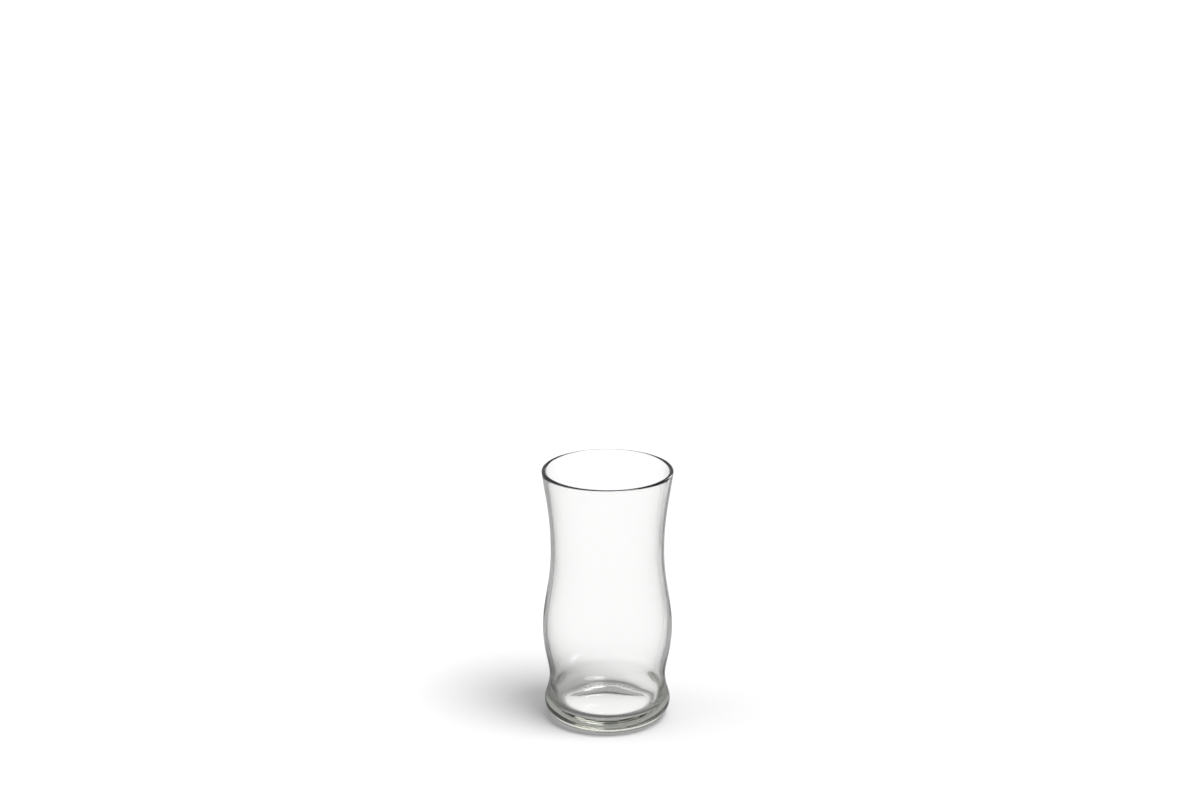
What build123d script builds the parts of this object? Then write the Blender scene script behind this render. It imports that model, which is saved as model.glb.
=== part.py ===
from build123d import *
import os
from math import cos, degrees, radians, sin

# A clear glass flower vase, blown in a two-part iron mould as one piece of glass:
# a heavy rounded foot, a waist above it, a full belly, a drawn-in neck and a flared
# mouth with a fire-polished lip. It stands on a flat ring around a domed push-up.
# Frame: millimetres, +Z up along the vase's own axis, origin at the centre of the
# flat ring, on the surface that the vase stands on. The section is drawn once, on
# the side of +X, and turned about +Z.

# ---- driving dimensions, millimetres and degrees ----

# outside, from the lip down; each radius is at the level given under it, and each
# ease is how far the wall keeps near to upright above and below that level
VASE_HEIGHT = 210.0
RIM_RADIUS = 52.6
FLARE_ANGLE = 8.0
RIM_EASE = 25.0
NECK_RADIUS = 45.6
NECK_LEVEL = 142.0
NECK_EASE = 27.0
BELLY_RADIUS = 52.3
BELLY_LEVEL = 77.0
BELLY_EASE = 20.0
WAIST_RADIUS = 47.0
WAIST_LEVEL = 35.0
WAIST_EASE = 11.0
FOOT_RADIUS = 51.0
FOOT_LEVEL = 14.0
FOOT_EASE = 5.0
REST_RING_RADIUS = 41.2
REST_RING_WIDTH = 5.0
HEEL_ANGLE = 14.0
HEEL_EASE = 5.7

# glass thickness, which grows towards the foot
LIP_WALL = 3.2
NECK_WALL = 3.1
BELLY_WALL = 3.1
WAIST_WALL = 3.7
WELL_WALL = 7.2
FLOOR_THICKNESS = 8.6

# floor inside and push-up underneath
WELL_CORNER_RADIUS = 9.0
WELL_EASE = 4.0
FLOOR_CROWN = 1.4
PUSH_UP = 3.4

# stippling pressed into the rest ring, which keeps the hot foot from sticking
DIMPLE_COUNT = 56
DIMPLE_RADIUS = 1.0
DIMPLE_DEPTH = 0.35

# the two upright seams where the halves of the mould met
SEAM_COUNT = 2
SEAM_AZIMUTH = 20.0
SEAM_HEIGHT = 0.1
SEAM_WIDTH = 0.8
SEAM_ROOT = 0.6
SEAM_END_GAP = 6.0

AXIS_RADIUS = 0.0
STAND_LEVEL = 0.0
FULL_TURN = 360.0
HALF_TURN = 180.0
QUARTER_TURN = 90.0
HALF = 0.5
THIRD = 1 / 3


def in_section(radius, level):
    """A point of the vase's section: radius from the axis, level above the stand."""
    return Vector(radius, 0, level)


def heading(angle):
    """The direction at an angle above straight outward, in the section."""
    return in_section(cos(radians(angle)), sin(radians(angle)))


UP = heading(QUARTER_TURN)
DOWN = heading(-QUARTER_TURN)
OUTWARD = heading(0)
INWARD = heading(HALF_TURN)

# ---- places that follow from the dimensions ----

lip_radius = LIP_WALL * HALF
lip_centre = in_section(RIM_RADIUS - lip_radius, VASE_HEIGHT - lip_radius)
along_flare = heading(QUARTER_TURN - FLARE_ANGLE)
across_flare = heading(-FLARE_ANGLE)
lip_outer_end = lip_centre + across_flare * lip_radius
lip_inner_end = lip_centre - across_flare * lip_radius
lip_top = lip_centre + along_flare * lip_radius

well_radius = FOOT_RADIUS - WELL_WALL
floor_centre_level = PUSH_UP + FLOOR_THICKNESS
floor_edge_level = floor_centre_level - FLOOR_CROWN
well_top_level = floor_edge_level + WELL_CORNER_RADIUS
ring_inner_radius = REST_RING_RADIUS - REST_RING_WIDTH
ring_middle_radius = REST_RING_RADIUS - REST_RING_WIDTH * HALF


def eased(start, start_heading, start_ease, end, end_heading, end_ease):
    """A smooth curve that leaves one point and reaches another along given headings."""
    return Bezier(
        start, start + start_heading * start_ease, end - end_heading * end_ease, end
    )


def outer_wall(proud=0.0):
    """The outside, from the foot's widest place up to the lip, or standing proud of it."""
    foot = in_section(FOOT_RADIUS + proud, FOOT_LEVEL)
    waist = in_section(WAIST_RADIUS + proud, WAIST_LEVEL)
    belly = in_section(BELLY_RADIUS + proud, BELLY_LEVEL)
    neck = in_section(NECK_RADIUS + proud, NECK_LEVEL)
    lip_edge = lip_outer_end + OUTWARD * proud
    return [
        eased(foot, UP, FOOT_EASE, waist, UP, WAIST_EASE),
        eased(waist, UP, WAIST_EASE, belly, UP, BELLY_EASE),
        eased(belly, UP, BELLY_EASE, neck, UP, NECK_EASE),
        eased(neck, UP, NECK_EASE, lip_edge, along_flare, RIM_EASE),
    ]


def inner_wall():
    """The inside, from the top of the well's rounded corner up to the lip."""
    well = in_section(well_radius, well_top_level)
    waist = in_section(WAIST_RADIUS - WAIST_WALL, WAIST_LEVEL)
    belly = in_section(BELLY_RADIUS - BELLY_WALL, BELLY_LEVEL)
    neck = in_section(NECK_RADIUS - NECK_WALL, NECK_LEVEL)
    return [
        eased(well, UP, WELL_EASE, waist, UP, WELL_EASE),
        eased(waist, UP, WAIST_EASE, belly, UP, BELLY_EASE),
        eased(belly, UP, BELLY_EASE, neck, UP, NECK_EASE),
        eased(neck, UP, NECK_EASE, lip_inner_end, along_flare, RIM_EASE),
    ]


def vase_section():
    """Half of the vase's section, as one closed face on the side of +X."""
    well_top = in_section(well_radius, well_top_level)
    floor_edge = in_section(well_radius - WELL_CORNER_RADIUS, floor_edge_level)
    floor_centre = in_section(AXIS_RADIUS, floor_centre_level)
    push_up_top = in_section(AXIS_RADIUS, PUSH_UP)
    ring_inner = in_section(ring_inner_radius, STAND_LEVEL)
    ring_outer = in_section(REST_RING_RADIUS, STAND_LEVEL)
    foot_widest = in_section(FOOT_RADIUS, FOOT_LEVEL)
    floor_ease = floor_edge.X * THIRD
    return Face(Wire([
        *outer_wall(),
        ThreePointArc(lip_outer_end, lip_top, lip_inner_end),
        *inner_wall(),
        TangentArc(well_top, floor_edge, tangent=DOWN),
        eased(floor_edge, INWARD, floor_ease, floor_centre, INWARD, floor_ease),
        Line(floor_centre, push_up_top),
        TangentArc(push_up_top, ring_inner, tangent=OUTWARD),
        Line(ring_inner, ring_outer),
        eased(ring_outer, heading(HEEL_ANGLE), HEEL_EASE, foot_widest, UP, HEEL_EASE),
    ]))


def mould_seams():
    """Fine upright ridges on the outside, from the foot to just below the lip."""
    top_level = VASE_HEIGHT - SEAM_END_GAP
    bottom_level = FOOT_LEVEL + SEAM_END_GAP
    proud_lines = outer_wall(SEAM_HEIGHT)
    root_lines = outer_wall(-SEAM_ROOT)
    strip = Face(Wire([
        *proud_lines,
        Line(proud_lines[-1] @ 1, root_lines[-1] @ 1),
        *root_lines,
        Line(root_lines[0] @ 0, proud_lines[0] @ 0),
    ]))
    kept_height = top_level - bottom_level
    kept_side = VASE_HEIGHT + RIM_RADIUS + BELLY_RADIUS
    kept_middle = Pos(0, 0, bottom_level + kept_height * HALF)
    kept = kept_middle * Box(kept_side, kept_side, kept_height)
    seam_angle = degrees(SEAM_WIDTH / BELLY_RADIUS)
    seam = revolve(strip, Axis.Z, seam_angle) & kept
    first = SEAM_AZIMUTH - seam_angle * HALF
    return [Rot(0, 0, first + turn * FULL_TURN / SEAM_COUNT) * seam for turn in range(SEAM_COUNT)]


def ring_stippling():
    """Shallow round dimples all along the middle of the rest ring, as ball tools."""
    ball_radius = (DIMPLE_RADIUS**2 + DIMPLE_DEPTH**2) / (2 * DIMPLE_DEPTH)
    ball = Pos(0, 0, DIMPLE_DEPTH - ball_radius) * Sphere(ball_radius)
    half_pitch = FULL_TURN / DIMPLE_COUNT * HALF
    return [place * ball for place in PolarLocations(ring_middle_radius, DIMPLE_COUNT, half_pitch)]


def make_glass_vase():
    """The whole vase: one solid of glass."""
    vase = revolve(vase_section(), Axis.Z, FULL_TURN)
    for seam in mould_seams():
        vase = vase + seam
    return vase - ring_stippling()


os.makedirs("parts", exist_ok=True)
glass_vase = make_glass_vase()
glass_vase.label = "glass_vase"
export_step(glass_vase, "parts/glass_vase.step")
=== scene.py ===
"""A clear glass flower vase, blown in a two-part mould, on a plain pale studio floor."""

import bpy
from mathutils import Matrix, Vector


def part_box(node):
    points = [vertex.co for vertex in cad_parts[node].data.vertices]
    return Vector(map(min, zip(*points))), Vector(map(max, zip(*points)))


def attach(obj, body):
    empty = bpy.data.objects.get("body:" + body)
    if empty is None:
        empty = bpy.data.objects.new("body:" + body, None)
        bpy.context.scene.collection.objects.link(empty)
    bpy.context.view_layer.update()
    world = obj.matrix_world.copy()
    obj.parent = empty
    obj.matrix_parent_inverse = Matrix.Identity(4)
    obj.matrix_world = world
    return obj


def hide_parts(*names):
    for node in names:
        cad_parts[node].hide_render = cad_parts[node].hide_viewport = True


bl_info = {
    "name": "Glass Flower Vase",
    "version": (1, 0, 0),
    "blender": (4, 5, 0),
    "location": "View3D > Sidebar > Vase",
    "description": "Blows a clear glass flower vase around its CAD frame and lights it",
    "category": "Add Mesh",
}

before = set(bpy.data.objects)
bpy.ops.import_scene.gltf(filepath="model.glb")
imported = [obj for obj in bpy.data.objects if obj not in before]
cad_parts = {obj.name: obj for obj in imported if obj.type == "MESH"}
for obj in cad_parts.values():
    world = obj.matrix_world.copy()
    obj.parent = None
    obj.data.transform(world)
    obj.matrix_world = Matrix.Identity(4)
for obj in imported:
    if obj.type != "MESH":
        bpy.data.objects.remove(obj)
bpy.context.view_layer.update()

from math import cos, pi, radians, sin

import bpy
import numpy as np
from mathutils import Matrix, Vector

MM = 0.001
VASE_NODE = "glass_vase"
VASE_LOW, VASE_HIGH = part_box(VASE_NODE)

UP = (0.0, 1.0)
DOWN = (0.0, -1.0)
INWARD = (-1.0, 0.0)
FULL_TURN = 2 * pi
QUARTER_TURN = pi / 2
THIRD = 1 / 3
WHITE = (1.0, 1.0, 1.0, 1.0)

COLUMNS_PER_DIMPLE = 7
COLUMNS_PER_SEAM = 7
SEAM_MARGIN = 0.6  # half the columns' reach across a seam, in seam widths
STIPPLE_MARGIN = 1.25  # half the width of the finely divided strip, in dimple radii
LIP_ROWS = 12
WAVE_RISE = 20 * MM  # the outer wave comes in over this height above the foot
SEAM_RUN_OUT = 4 * MM  # a seam sinks into the wall over this height at either end
SCRATCH_PITCH = 1.2 * MM
RIPPLE_PITCH = 6.0 * MM
WORN_HEIGHT = 0.9 * MM
GLOW_RADII = (49 * MM, 32 * MM)  # where the glow under the foot ends, and is full
FLOOR_GAP = 0.1 * MM
FLOOR_COLUMNS = 96
FLOOR_RINGS = 24
FLOOR_FIRST_RING = 20 * MM
CARD_COLUMNS = 13
CARD_SIZES = (360 * MM, radians(16), -100 * MM, 600 * MM)  # reach, half width, low and high


# ---------------------------------------------------------------- sizes and colours

def length(name, description, default):
    """A length in metres that a user can change."""
    return bpy.props.FloatProperty(
        name=name, description=description, default=default, min=0.0,
        precision=4, unit="LENGTH", subtype="DISTANCE",
    )


def angle(name, description, default):
    """An angle in radians that a user can change."""
    return bpy.props.FloatProperty(
        name=name, description=description, default=default, unit="ROTATION", subtype="ANGLE",
    )


def share(name, description, default):
    """A number from 0 to 1 that a user can change."""
    return bpy.props.FloatProperty(
        name=name, description=description, default=default, min=0.0, max=1.0, subtype="FACTOR",
    )


def hex_colour(name, description, default):
    """An sRGB colour written as six hex digits."""
    return bpy.props.StringProperty(name=name, description=description, default=default, maxlen=6)


class VaseSizes(bpy.types.PropertyGroup):
    """The vase's section, as radii at levels above the stand, and its fine relief."""

    height: length("Height", "From the stand to the top of the lip", float(VASE_HIGH[2]))
    rim_radius: length("Rim radius", "Outside radius at the lip", float(VASE_HIGH[0]))
    flare: angle("Flare", "Lean of the wall at the lip, from upright", radians(8.0))
    rim_ease: length("Rim ease", "How far below the lip the flare runs straight", 25.0 * MM)
    neck_radius: length("Neck radius", "Outside radius of the neck", 45.6 * MM)
    neck_level: length("Neck level", "Height of the narrowest place of the neck", 142.0 * MM)
    neck_ease: length("Neck ease", "How long the neck stays near to upright", 27.0 * MM)
    belly_radius: length("Belly radius", "Outside radius of the belly", 52.3 * MM)
    belly_level: length("Belly level", "Height of the belly's widest place", 77.0 * MM)
    belly_ease: length("Belly ease", "How long the belly stays near to upright", 20.0 * MM)
    waist_radius: length("Waist radius", "Outside radius of the waist", 47.0 * MM)
    waist_level: length("Waist level", "Height of the waist above the foot", 35.0 * MM)
    waist_ease: length("Waist ease", "How long the waist stays near to upright", 11.0 * MM)
    foot_radius: length("Foot radius", "Outside radius of the foot", 51.0 * MM)
    foot_level: length("Foot level", "Height of the foot's widest place", 14.0 * MM)
    foot_ease: length("Foot ease", "How long the foot stays near to upright", 5.0 * MM)
    ring_radius: length("Rest ring radius", "Outer edge of the ring it stands on", 41.2 * MM)
    ring_width: length("Rest ring width", "Width of the ring it stands on", 5.0 * MM)
    heel: angle("Heel", "Rise of the heel where it leaves the rest ring", radians(14.0))
    heel_ease: length("Heel ease", "Roundness of the heel", 5.7 * MM)
    lip_wall: length("Lip wall", "Glass thickness at the lip", 3.2 * MM)
    neck_wall: length("Neck wall", "Glass thickness at the neck", 3.1 * MM)
    belly_wall: length("Belly wall", "Glass thickness at the belly", 3.1 * MM)
    waist_wall: length("Waist wall", "Glass thickness at the waist", 3.7 * MM)
    well_wall: length("Well wall", "Glass thickness at the foot", 7.2 * MM)
    floor_thickness: length("Floor", "Glass thickness at the middle of the floor", 8.6 * MM)
    well_corner: length("Well corner", "Radius where the wall turns into the floor", 9.0 * MM)
    well_ease: length("Well ease", "How long the wall stays upright above the corner", 4.0 * MM)
    floor_crown: length("Floor crown", "Rise of the floor at its middle", 1.4 * MM)
    push_up: length("Push-up", "Rise of the underside at its middle", 3.4 * MM)
    dimple_count: bpy.props.IntProperty(
        name="Dimples", description="Dimples pressed into the rest ring", default=56, min=8,
    )
    dimple_radius: length("Dimple radius", "Radius of one dimple", 1.0 * MM)
    dimple_depth: length("Dimple depth", "Depth of one dimple", 0.35 * MM)
    seam_azimuth: angle("Seam azimuth", "Where the first mould seam stands", radians(20.0))
    seam_height: length("Seam height", "How proud a mould seam stands", 0.10 * MM)
    seam_width: length("Seam width", "Width of a mould seam", 0.8 * MM)
    seam_gap: length("Seam gap", "Plain glass above and below the seams", 6.0 * MM)
    inner_wave: length("Inner wave", "Unevenness of the blown inner face", 0.10 * MM)
    outer_wave: length("Outer wave", "Unevenness of the moulded outer face", 0.025 * MM)


class GlassLook(bpy.types.PropertyGroup):
    """How the glass and its surfaces look."""

    tint: hex_colour("Tint", "Colour that thick glass passes", "C4C9B6")
    tint_density: bpy.props.FloatProperty(
        name="Tint density", description="Absorption per metre of glass", default=8.0, min=0.0,
    )
    refraction: bpy.props.FloatProperty(
        name="Refractive index", description="Soda-lime glass is 1.52", default=1.52, min=1.0,
    )
    scuff: share("Scuff", "Roughness that the rest ring has worn to", 0.30)


class StudioLook(bpy.types.PropertyGroup):
    """The floor, the lights and the camera."""

    floor_colour: hex_colour("Floor colour", "Colour of the pale floor", "F4F4F4")
    floor_radius: length("Floor radius", "Radius of the round floor", 9.0)
    backdrop: bpy.props.FloatProperty(
        name="Backdrop", description="Brightness of the room behind the vase", default=1.15, min=0.0,
    )
    room_light: bpy.props.FloatProperty(
        name="Room light", description="Brightness of the room as a light", default=0.50, min=0.0,
    )
    under_light: bpy.props.FloatProperty(
        name="Under light", description="Glow of the paper under the vase", default=1.05, min=0.0,
    )
    mirror_shade: share("Mirror shade", "How much darker the room is in the glass's mirrors", 0.6)
    camera_distance: length("Camera distance", "From the camera to the vase's foot", 2.2)
    camera_elevation: angle("Camera elevation", "Seen from the vase's foot", radians(24.0))
    camera_lens: bpy.props.FloatProperty(
        name="Lens", description="Focal length in millimetres on a 36 mm sensor", default=80.0, min=1.0,
    )
    aim_level: length("Aim level", "Height that the camera looks at", 0.2677)
    aim_side: bpy.props.FloatProperty(
        name="Aim side", description="How far right of the axis the camera is", default=-6.0 * MM,
        unit="LENGTH",
    )


# ---------------------------------------------------------------- numpy shapes

def eased(start, start_heading, start_ease, end, end_heading, end_ease, steps):
    """Points on a cubic Bezier curve from start up to, but without, end: its two inner
    control points lie along the given headings, one ease away from each end."""
    start, end = np.array(start), np.array(end)
    near_start = start + np.array(start_heading) * start_ease
    near_end = end - np.array(end_heading) * end_ease
    t = np.linspace(0.0, 1.0, steps, endpoint=False)[:, None]
    s = 1.0 - t
    return s**3 * start + 3 * s**2 * t * near_start + 3 * s * t**2 * near_end + t**3 * end


def arc(centre, radius, first, last, steps):
    """Points on a circle about centre, from angle first up to, but without, angle last."""
    turn = np.linspace(first, last, steps, endpoint=False)
    return np.array(centre) + radius * np.stack([np.cos(turn), np.sin(turn)], axis=1)


def run(start, end, steps):
    """Evenly spaced points on a straight line from start up to, but without, end."""
    t = np.linspace(0.0, 1.0, steps, endpoint=False)[:, None]
    return np.array(start) * (1.0 - t) + np.array(end) * t


def turned_grid(section, azimuths):
    """A section of (radius, level) points turned about Z: x = r cos a, y = r sin a."""
    radius, level = section[:, :1], section[:, 1:]
    return np.stack([
        radius * np.cos(azimuths), radius * np.sin(azimuths), level + 0.0 * azimuths,
    ], axis=-1)


def turned_mesh(name, grid, first_pole, last_pole):
    """A closed or open skin over a grid of (row, azimuth) points: quads between rows,
    joined round, and a fan of triangles to a point on the axis at either end."""
    rows, columns = grid.shape[:2]
    index = np.arange(rows * columns).reshape(rows, columns)
    onward = np.roll(index, -1, axis=1)
    quads = np.stack([index[:-1], onward[:-1], onward[1:], index[1:]], axis=-1).reshape(-1, 4)
    points = [grid.reshape(-1, 3)]
    fans = []
    for pole, near, far in ((first_pole, onward[0], index[0]), (last_pole, index[-1], onward[-1])):
        if pole is None:
            continue
        centre = np.full(columns, rows * columns + len(points) - 1)
        fans.append(np.stack([near, far, centre], axis=-1))
        points.append(np.array([[0.0, 0.0, pole]]))
    mesh = bpy.data.meshes.new(name)
    faces = quads.tolist() + [face for fan in fans for face in fan.tolist()]
    mesh.from_pydata(np.concatenate(points).tolist(), [], faces)
    mesh.polygons.foreach_set("use_smooth", np.ones(len(faces), dtype=bool))
    mesh.update()
    piece = bpy.data.objects.new(name, mesh)
    bpy.context.collection.objects.link(piece)
    return piece


# ---------------------------------------------------------------- the vase's glass

def vase_section(sizes):
    """The section from the middle of the underside, out over the rest ring and the heel,
    up the outside, over the lip, down the inside and in to the middle of the floor."""
    lean = (sin(sizes.flare), cos(sizes.flare))
    lip_radius = sizes.lip_wall / 2
    lip = np.array((sizes.rim_radius - lip_radius, sizes.height - lip_radius))
    lip_side = lip_radius * np.array((cos(sizes.flare), -sin(sizes.flare)))
    ring_inner = sizes.ring_radius - sizes.ring_width
    ring_middle = sizes.ring_radius - sizes.ring_width / 2
    stipple_in = (ring_middle - STIPPLE_MARGIN * sizes.dimple_radius, 0.0)
    stipple_out = (ring_middle + STIPPLE_MARGIN * sizes.dimple_radius, 0.0)
    dome_radius = (ring_inner**2 + sizes.push_up**2) / (2 * sizes.push_up)
    dome_centre = (0.0, sizes.push_up - dome_radius)
    dome_half = np.arcsin(ring_inner / dome_radius)
    floor_edge_level = sizes.push_up + sizes.floor_thickness - sizes.floor_crown
    well_radius = sizes.foot_radius - sizes.well_wall
    corner = (well_radius - sizes.well_corner, floor_edge_level + sizes.well_corner)
    floor_edge = (corner[0], floor_edge_level)
    floor_middle = (0.0, sizes.push_up + sizes.floor_thickness)
    foot = (sizes.foot_radius, sizes.foot_level)
    waist = (sizes.waist_radius, sizes.waist_level)
    belly = (sizes.belly_radius, sizes.belly_level)
    neck = (sizes.neck_radius, sizes.neck_level)
    well_in = (well_radius, corner[1])
    waist_in = (sizes.waist_radius - sizes.waist_wall, sizes.waist_level)
    belly_in = (sizes.belly_radius - sizes.belly_wall, sizes.belly_level)
    neck_in = (sizes.neck_radius - sizes.neck_wall, sizes.neck_level)
    heel = (cos(sizes.heel), sin(sizes.heel))
    floor_ease = floor_edge[0] * THIRD
    back = (-lean[0], -lean[1])
    return np.concatenate([
        arc(dome_centre, dome_radius, QUARTER_TURN, QUARTER_TURN - dome_half, 14)[1:],
        run((ring_inner, 0.0), stipple_in, 2),
        run(stipple_in, stipple_out, 10),
        run(stipple_out, (sizes.ring_radius, 0.0), 2),
        eased((sizes.ring_radius, 0.0), heel, sizes.heel_ease, foot, UP, sizes.heel_ease, 14),
        eased(foot, UP, sizes.foot_ease, waist, UP, sizes.waist_ease, 12),
        eased(waist, UP, sizes.waist_ease, belly, UP, sizes.belly_ease, 18),
        eased(belly, UP, sizes.belly_ease, neck, UP, sizes.neck_ease, 25),
        eased(neck, UP, sizes.neck_ease, lip + lip_side, lean, sizes.rim_ease, 26),
        arc(lip, lip_radius, -sizes.flare, pi - sizes.flare, LIP_ROWS),
        eased(lip - lip_side, back, sizes.rim_ease, neck_in, DOWN, sizes.neck_ease, 26),
        eased(neck_in, DOWN, sizes.neck_ease, belly_in, DOWN, sizes.belly_ease, 25),
        eased(belly_in, DOWN, sizes.belly_ease, waist_in, DOWN, sizes.waist_ease, 18),
        eased(waist_in, DOWN, sizes.well_ease, well_in, DOWN, sizes.well_ease, 8),
        arc(corner, sizes.well_corner, 0.0, -QUARTER_TURN, 10),
        eased(floor_edge, INWARD, floor_ease, floor_middle, INWARD, floor_ease, 12),
    ])


def glass_azimuths(sizes):
    """Azimuths of the columns: as many to each dimple, evenly spaced, and more of them
    across each seam, which reach a little past its edges."""
    pitch = FULL_TURN / sizes.dimple_count
    columns = np.arange(sizes.dimple_count * COLUMNS_PER_DIMPLE)
    even = pitch / 2 + columns * pitch / COLUMNS_PER_DIMPLE
    across = np.linspace(-SEAM_MARGIN, SEAM_MARGIN, COLUMNS_PER_SEAM)
    across = across * sizes.seam_width / sizes.belly_radius
    seams = [sizes.seam_azimuth + across, sizes.seam_azimuth + pi + across]
    return np.sort(np.concatenate([even, *seams]) % FULL_TURN)


def slow_waves(azimuths, levels, modes):
    """A sum of cosine waves that run round and up the wall, from -1 to 1: each mode is
    (waves round, waves per metre of height, phase, share)."""
    total = sum(weight for *_, weight in modes)
    return sum(
        weight * np.cos(count * azimuths + FULL_TURN * pitch * levels + phase)
        for count, pitch, phase, weight in modes
    ) / total


def blown_relief(sizes, grid, section, azimuths):
    """Moves the grid's points for what the blowing and the mould leave: a slow wave on
    both faces of the wall; two upright seams outside, as proud as the square of one less
    the square of the distance from the seam in half widths; and round dimples in the rest
    ring, as deep as one less the square of the distance from the dimple in its radii."""
    radius, level = section[:, :1], section[:, 1:]
    rows = np.arange(len(section))[:, None]
    lip_row = int(np.argmax(section[:, 1]))
    inside = np.clip((rows - lip_row) / LIP_ROWS, 0.0, 1.0)
    wall = np.clip((level - sizes.foot_level) / WAVE_RISE, 0.0, 1.0)
    inner_modes = ((2, 6, 0.4, 1.0), (3, -11, 1.9, 0.9), (5, 17, 4.1, 0.6), (9, -23, 2.6, 0.35))
    outer_modes = ((2, 5, 2.2, 1.0), (4, 13, 0.3, 0.8), (7, -21, 5.0, 0.5))
    push = inside * sizes.inner_wave * slow_waves(azimuths, level, inner_modes)
    push = push + (1 - inside) * wall * sizes.outer_wave * slow_waves(azimuths, level, outer_modes)
    to_seam = (azimuths - sizes.seam_azimuth + QUARTER_TURN) % pi - QUARTER_TURN
    off_seam = np.abs(to_seam) * radius / (sizes.seam_width / 2)
    low, high = sizes.foot_level + sizes.seam_gap, sizes.height - sizes.seam_gap
    run_out = np.clip(np.minimum(level - low, high - level) / SEAM_RUN_OUT, 0.0, 1.0)
    ridge = np.clip(1.0 - off_seam**2, 0.0, 1.0) ** 2 * run_out * (rows < lip_row)
    push = push + sizes.seam_height * ridge
    grid[..., 0] += push * np.cos(azimuths)
    grid[..., 1] += push * np.sin(azimuths)
    pitch = FULL_TURN / sizes.dimple_count
    ring_middle = sizes.ring_radius - sizes.ring_width / 2
    off_dimple = np.hypot((azimuths % pitch - pitch / 2) * ring_middle, radius - ring_middle)
    bowl = np.clip(1.0 - (off_dimple / sizes.dimple_radius) ** 2, 0.0, 1.0)
    grid[..., 2] += sizes.dimple_depth * bowl * (level < 0.01 * MM)
    return grid


# ---------------------------------------------------------------- materials

def linear(hex_digits):
    """The linear RGBA of an sRGB colour written as six hex digits."""
    srgb = np.array([int(hex_digits[i:i + 2], 16) for i in (0, 2, 4)]) / 255.0
    low, high = srgb / 12.92, ((srgb + 0.055) / 1.055) ** 2.4
    return (*np.where(srgb <= 0.04045, low, high).tolist(), 1.0)


def add_node(tree, kind, settings=None, links=None):
    """Adds a node: settings by attribute or input name, links from sockets to inputs."""
    node = tree.nodes.new(kind)
    for key, value in (settings or {}).items():
        if isinstance(key, str) and hasattr(node, key):
            setattr(node, key, value)
        else:
            node.inputs[key].default_value = value
    for key, socket in (links or {}).items():
        tree.links.new(socket, node.inputs[key])
    return node


def new_material(name):
    """An empty node material and its node tree."""
    material = bpy.data.materials.new(name)
    material.use_nodes = True
    material.node_tree.nodes.clear()
    return material, material.node_tree


def soda_lime_glass(look):
    """Soda-lime glass, mould blown and fire polished: clear and glossy, with a faint olive
    grey where it is thick, a soft chill ripple on its faces and a rest ring worn matt."""
    material, tree = new_material("soda_lime_glass_fire_polished")
    place = add_node(tree, "ShaderNodeTexCoord")
    xyz = add_node(tree, "ShaderNodeSeparateXYZ", links={0: place.outputs["Object"]})
    # the ring has slid over shelves and tables, which leaves a patchy matt wear. Its real
    # scratches are finer than show, and are drawn about 1 mm apart
    scratches = add_node(
        tree, "ShaderNodeTexNoise", {"Scale": 1.0 / SCRATCH_PITCH, "Detail": 3.0},
        {"Vector": place.outputs["Object"]},
    )
    worn = add_node(
        tree, "ShaderNodeMapRange",
        {"From Min": WORN_HEIGHT, "From Max": 0.0, "To Min": 0.0, "To Max": look.scuff},
        {"Value": xyz.outputs["Z"]},
    )
    roughness = add_node(
        tree, "ShaderNodeMath", {"operation": "MULTIPLY"},
        {0: worn.outputs[0], 1: scratches.outputs["Fac"]},
    )
    # chill ripple, where hot glass met cooler iron: soft swells about 6 mm across
    ripple = add_node(
        tree, "ShaderNodeTexNoise", {"Scale": 1.0 / RIPPLE_PITCH, "Detail": 1.0, "Roughness": 0.4},
        {"Vector": place.outputs["Object"]},
    )
    bump = add_node(
        tree, "ShaderNodeBump", {"Strength": 0.10, "Distance": 0.15 * MM},
        {"Height": ripple.outputs["Fac"]},
    )
    glass = add_node(
        tree, "ShaderNodeBsdfPrincipled",
        {"Base Color": linear("FFFFFF"), "IOR": look.refraction, "Transmission Weight": 1.0},
        {"Roughness": roughness.outputs[0], "Normal": bump.outputs[0]},
    )
    depth = add_node(
        tree, "ShaderNodeVolumeAbsorption",
        {"Color": linear(look.tint), "Density": look.tint_density},
    )
    add_node(
        tree, "ShaderNodeOutputMaterial",
        links={"Surface": glass.outputs[0], "Volume": depth.outputs[0]},
    )
    return material


def seen_in_glass(tree):
    """A socket that is 1 for rays that reach the camera by way of the glass alone, and 0
    for what the camera sees directly and for the light that falls on the paper."""
    path = add_node(tree, "ShaderNodeLightPath")
    by_glass = add_node(
        tree, "ShaderNodeMath", {"operation": "MAXIMUM"},
        {0: path.outputs["Is Glossy Ray"], 1: path.outputs["Is Transmission Ray"]},
    )
    no_paper = add_node(
        tree, "ShaderNodeMath", {"operation": "LESS_THAN", 1: 0.5}, {0: path.outputs["Diffuse Depth"]},
    )
    both = add_node(
        tree, "ShaderNodeMath", {"operation": "MULTIPLY"},
        {0: by_glass.outputs[0], 1: no_paper.outputs[0]},
    )
    return both.outputs[0]


def shade_in_glass(tree, look, in_glass):
    """A socket with how much the studio is dimmed where the glass mirrors it, and 0 where
    it is seen directly or straight through. No real room does this: it greys the wall's
    edges by the kind of ray, and not by direction, so it is the same from every side."""
    path = add_node(tree, "ShaderNodeLightPath")
    mirrored = add_node(
        tree, "ShaderNodeMapRange", {"To Max": look.mirror_shade},
        {"Value": path.outputs["Glossy Depth"]},
    )
    seen = add_node(
        tree, "ShaderNodeMath", {"operation": "MULTIPLY"}, {0: mirrored.outputs[0], 1: in_glass},
    )
    return seen.outputs[0]


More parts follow.
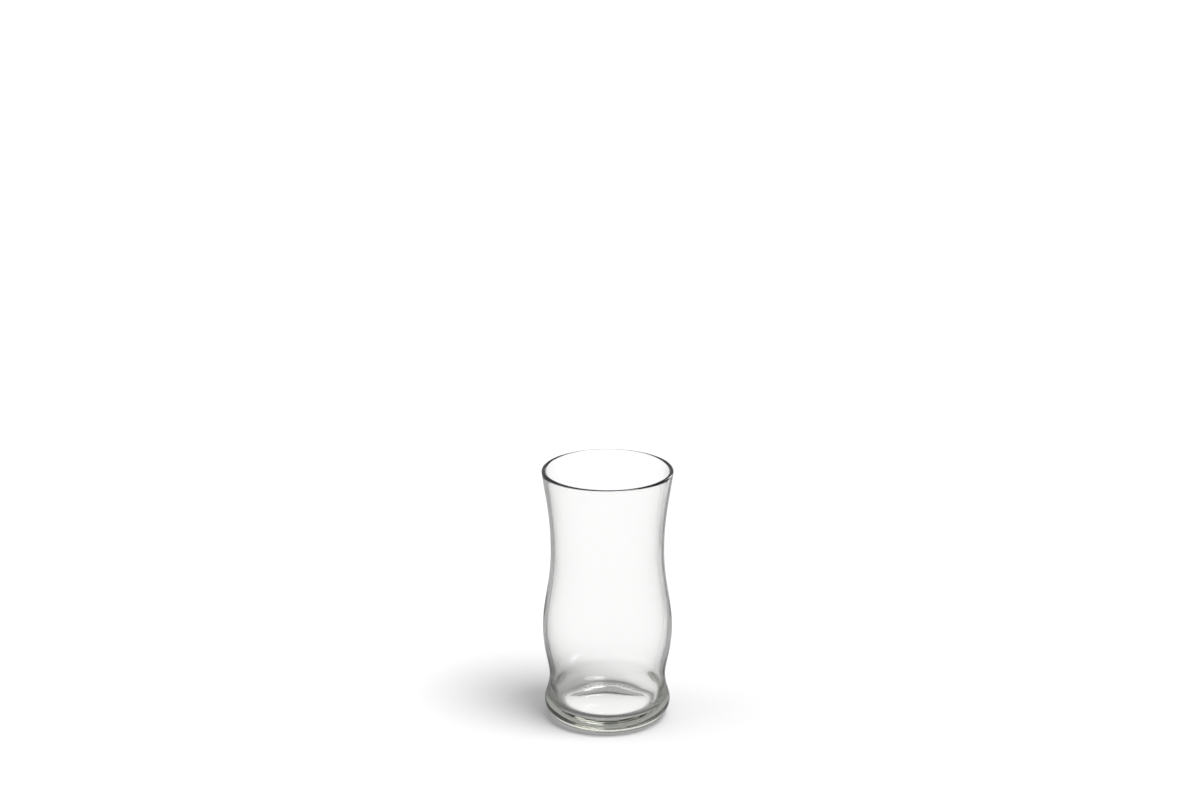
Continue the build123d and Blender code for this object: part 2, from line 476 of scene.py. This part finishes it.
def studio_paper(look):
    """Matt white background paper: no gloss and a very even pale tone. It glows under the
    foot, a painted light which stands in for the light that the glass passes on to it, and it carries
    painted shade, darker where the glass mirrors it."""
    material, tree = new_material("matt_white_background_paper")
    place = add_node(tree, "ShaderNodeTexCoord")
    reach = add_node(tree, "ShaderNodeVectorMath", {"operation": "LENGTH"}, {0: place.outputs["Object"]})
    glow = add_node(
        tree, "ShaderNodeMapRange",
        {
            "interpolation_type": "SMOOTHSTEP", "From Min": GLOW_RADII[0], "From Max": GLOW_RADII[1],
            "To Max": look.under_light,
        },
        {"Value": reach.outputs["Value"]},
    )
    paper = add_node(
        tree, "ShaderNodeBsdfPrincipled",
        {
            "Base Color": linear(look.floor_colour), "Roughness": 1.0, "Specular IOR Level": 0.0,
            "Emission Color": WHITE,
        },
        {"Emission Strength": glow.outputs[0]},
    )
    # painted shade: the paper is mixed towards black where the glass mirrors it
    shade = shade_in_glass(tree, look, seen_in_glass(tree))
    # the empty second input is black
    seen = add_node(tree, "ShaderNodeMixShader", links={0: shade, 1: paper.outputs[0]})
    add_node(tree, "ShaderNodeOutputMaterial", links={"Surface": seen.outputs[0]})
    return material


# ---------------------------------------------------------------- operators

class VASE_OT_blow_glass(bpy.types.Operator):
    """Make the vase's one piece of glass"""

    bl_idname = "vase.blow_glass"
    bl_label = "Blow the glass vase"

    def execute(self, context):
        sizes, look = context.scene.vase_sizes, context.scene.vase_glass
        section = vase_section(sizes)
        azimuths = glass_azimuths(sizes)
        grid = blown_relief(sizes, turned_grid(section, azimuths), section, azimuths)
        floor_level = sizes.push_up + sizes.floor_thickness
        vase = turned_mesh("blown_glass_vase", grid, sizes.push_up, floor_level)
        vase.data.materials.append(soda_lime_glass(look))
        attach(vase, "root")
        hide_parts(VASE_NODE)
        return {"FINISHED"}


class VASE_OT_set_studio(bpy.types.Operator):
    """Lay the pale floor, hang the lights and set up the camera"""

    bl_idname = "vase.set_studio"
    bl_label = "Set the studio"

    def execute(self, context):
        look = context.scene.vase_studio
        lay_floor(look)
        light_room(context.scene, look)
        place_camera(context.scene, look)
        return {"FINISHED"}


# ---------------------------------------------------------------- studio

def lay_floor(look):
    """A round flat floor, its rings further apart the further out they are."""
    radii = np.geomspace(FLOOR_FIRST_RING, look.floor_radius, FLOOR_RINGS)
    section = np.stack([radii, np.zeros(FLOOR_RINGS)], axis=1)[::-1]
    azimuths = np.arange(FLOOR_COLUMNS) * FULL_TURN / FLOOR_COLUMNS
    floor = turned_mesh("studio_floor", turned_grid(section, azimuths), None, 0.0)
    floor.data.transform(Matrix.Translation((0, 0, -FLOOR_GAP)))
    floor.data.materials.append(studio_paper(look))


def lit_cloth(azimuth, sizes, strength):
    """Thin white diffusion cloth with a lamp behind it: brightest at its middle, fading
    as the square of the distance to nothing at its edges, which leaves a soft streak."""
    reach, half_width, low, high = sizes
    material, tree = new_material("lit_white_diffusion_cloth")
    centre = (reach * cos(azimuth), reach * sin(azimuth), (low + high) / 2)
    across = reach * sin(half_width)
    spread = (across, across, (high - low) / 2)
    place = add_node(tree, "ShaderNodeTexCoord")
    middle = add_node(
        tree, "ShaderNodeMapping",
        {
            "Scale": [1 / side for side in spread],
            "Location": [-at / side for at, side in zip(centre, spread)],
        },
        {"Vector": place.outputs["Object"]},
    )
    soft = add_node(
        tree, "ShaderNodeTexGradient", {"gradient_type": "QUADRATIC_SPHERE"},
        {"Vector": middle.outputs[0]},
    )
    level = add_node(
        tree, "ShaderNodeMath", {"operation": "MULTIPLY", 1: strength}, {0: soft.outputs["Fac"]},
    )
    glow = add_node(
        tree, "ShaderNodeEmission", {"Color": WHITE}, {"Strength": level.outputs[0]},
    )
    add_node(tree, "ShaderNodeOutputMaterial", links={"Surface": glow.outputs[0]})
    return material


def bent_card(name, azimuth, sizes, strength):
    """A glowing card that stands round the vase and shows only in what the glass mirrors:
    the point at angle a and level z is (reach cos a, reach sin a, z)."""
    reach, half_width, low, high = sizes
    around = azimuth + np.linspace(-half_width, half_width, CARD_COLUMNS)
    grid = turned_grid(np.array([[reach, low], [reach, high]]), around)
    index = np.arange(2 * CARD_COLUMNS).reshape(2, CARD_COLUMNS)
    quads = np.stack([index[0, :-1], index[1, :-1], index[1, 1:], index[0, 1:]], axis=-1)
    mesh = bpy.data.meshes.new(name)
    mesh.from_pydata(grid.reshape(-1, 3).tolist(), [], quads.tolist())
    material = lit_cloth(azimuth, sizes, strength)
    mesh.materials.append(material)
    card = bpy.data.objects.new(name, mesh)
    bpy.context.collection.objects.link(card)
    card.visible_camera = False
    card.visible_diffuse = False
    card.visible_shadow = False
    card.visible_transmission = False


def add_sun(name, strength, elevation, azimuth, width):
    """A distant soft light that shines from an azimuth, where +X is 0 and +Y a quarter turn."""
    lamp = bpy.data.lights.new(name, "SUN")
    lamp.energy = strength
    lamp.angle = width
    sun = bpy.data.objects.new(name, lamp)
    towards = Vector((
        cos(elevation) * cos(azimuth), cos(elevation) * sin(azimuth), sin(elevation),
    ))
    sun.rotation_euler = towards.to_track_quat("Z", "Y").to_euler()
    bpy.context.collection.objects.link(sun)


def light_room(scene, look):
    """An even pale room, which is brighter where it is seen than it is as a light and dimmer
    where the glass mirrors it, with one glowing card, and two soft lights: a stronger one
    from the right and a weaker one from the left, both high up."""
    world = bpy.data.worlds.new("pale_studio_room")
    world.use_nodes = True
    tree = world.node_tree
    tree.nodes.clear()
    rays = add_node(tree, "ShaderNodeLightPath")
    in_glass = seen_in_glass(tree)
    seen = add_node(
        tree, "ShaderNodeMath", {"operation": "MAXIMUM"}, {0: rays.outputs["Is Camera Ray"], 1: in_glass},
    )
    brightness = add_node(
        tree, "ShaderNodeMapRange", {"To Min": look.room_light, "To Max": look.backdrop},
        {"Value": seen.outputs[0]},
    )
    shade = shade_in_glass(tree, look, in_glass)
    unshaded = add_node(tree, "ShaderNodeMath", {"operation": "SUBTRACT", 0: 1.0}, {1: shade})
    strength = add_node(
        tree, "ShaderNodeMath", {"operation": "MULTIPLY"},
        {0: brightness.outputs[0], 1: unshaded.outputs[0]},
    )
    room = add_node(
        tree, "ShaderNodeBackground", {"Color": WHITE}, {"Strength": strength.outputs[0]},
    )
    add_node(tree, "ShaderNodeOutputWorld", links={"Surface": room.outputs[0]})
    scene.world = world
    bent_card("right_window", azimuth=radians(42), sizes=CARD_SIZES, strength=9.0)
    add_sun("key_light", strength=2.1, elevation=radians(68), azimuth=radians(-32), width=radians(32))
    add_sun("fill_light", strength=0.45, elevation=radians(45), azimuth=radians(185), width=radians(50))


def place_camera(scene, look):
    """A camera in front of the vase, aimed above it, at the distance given."""
    lens = bpy.data.cameras.new("studio_camera")
    lens.lens = look.camera_lens
    lens.sensor_width = 36.0
    lens.clip_end = 100.0
    camera = bpy.data.objects.new("studio_camera", lens)
    reach, rise = cos(look.camera_elevation), sin(look.camera_elevation)
    camera.location = (look.aim_side, -look.camera_distance * reach, look.camera_distance * rise)
    aim = Vector((look.aim_side, 0.0, look.aim_level)) - camera.location
    camera.rotation_euler = aim.to_track_quat("-Z", "Y").to_euler()
    bpy.context.collection.objects.link(camera)
    scene.camera = camera
    scene.view_settings.view_transform = "Standard"
    scene.cycles.max_bounces = 24
    scene.cycles.transmission_bounces = 24
    scene.cycles.glossy_bounces = 8
    scene.cycles.sample_clamp_indirect = 8.0
    scene.cycles.caustics_refractive = False


# ---------------------------------------------------------------- panel and registration

class VASE_PT_sidebar(bpy.types.Panel):
    """The vase's sizes and looks, and the buttons that make it"""

    bl_idname = "VASE_PT_sidebar"
    bl_label = "Glass vase"
    bl_space_type = "VIEW_3D"
    bl_region_type = "UI"
    bl_category = "Vase"

    def draw(self, context):
        for maker in (VASE_OT_blow_glass, VASE_OT_set_studio):
            self.layout.operator(maker.bl_idname)
        for group in (context.scene.vase_sizes, context.scene.vase_glass, context.scene.vase_studio):
            box = self.layout.box()
            for name in group.__annotations__:
                box.prop(group, name)


CLASSES = (
    VaseSizes, GlassLook, StudioLook, VASE_OT_blow_glass, VASE_OT_set_studio, VASE_PT_sidebar,
)
GROUPS = (("vase_sizes", VaseSizes), ("vase_glass", GlassLook), ("vase_studio", StudioLook))


def register():
    """Makes Blender know the classes, and gives each scene its three groups of values."""
    for kind in CLASSES:
        bpy.utils.register_class(kind)
    for name, group in GROUPS:
        setattr(bpy.types.Scene, name, bpy.props.PointerProperty(type=group))


def unregister():
    """Undoes what register did."""
    for name, _ in GROUPS:
        delattr(bpy.types.Scene, name)
    for kind in reversed(CLASSES):
        bpy.utils.unregister_class(kind)


def main():
    """Makes everything in order."""
    register()
    bpy.ops.vase.blow_glass()
    bpy.ops.vase.set_studio()


if __name__ == "__main__":
    main()
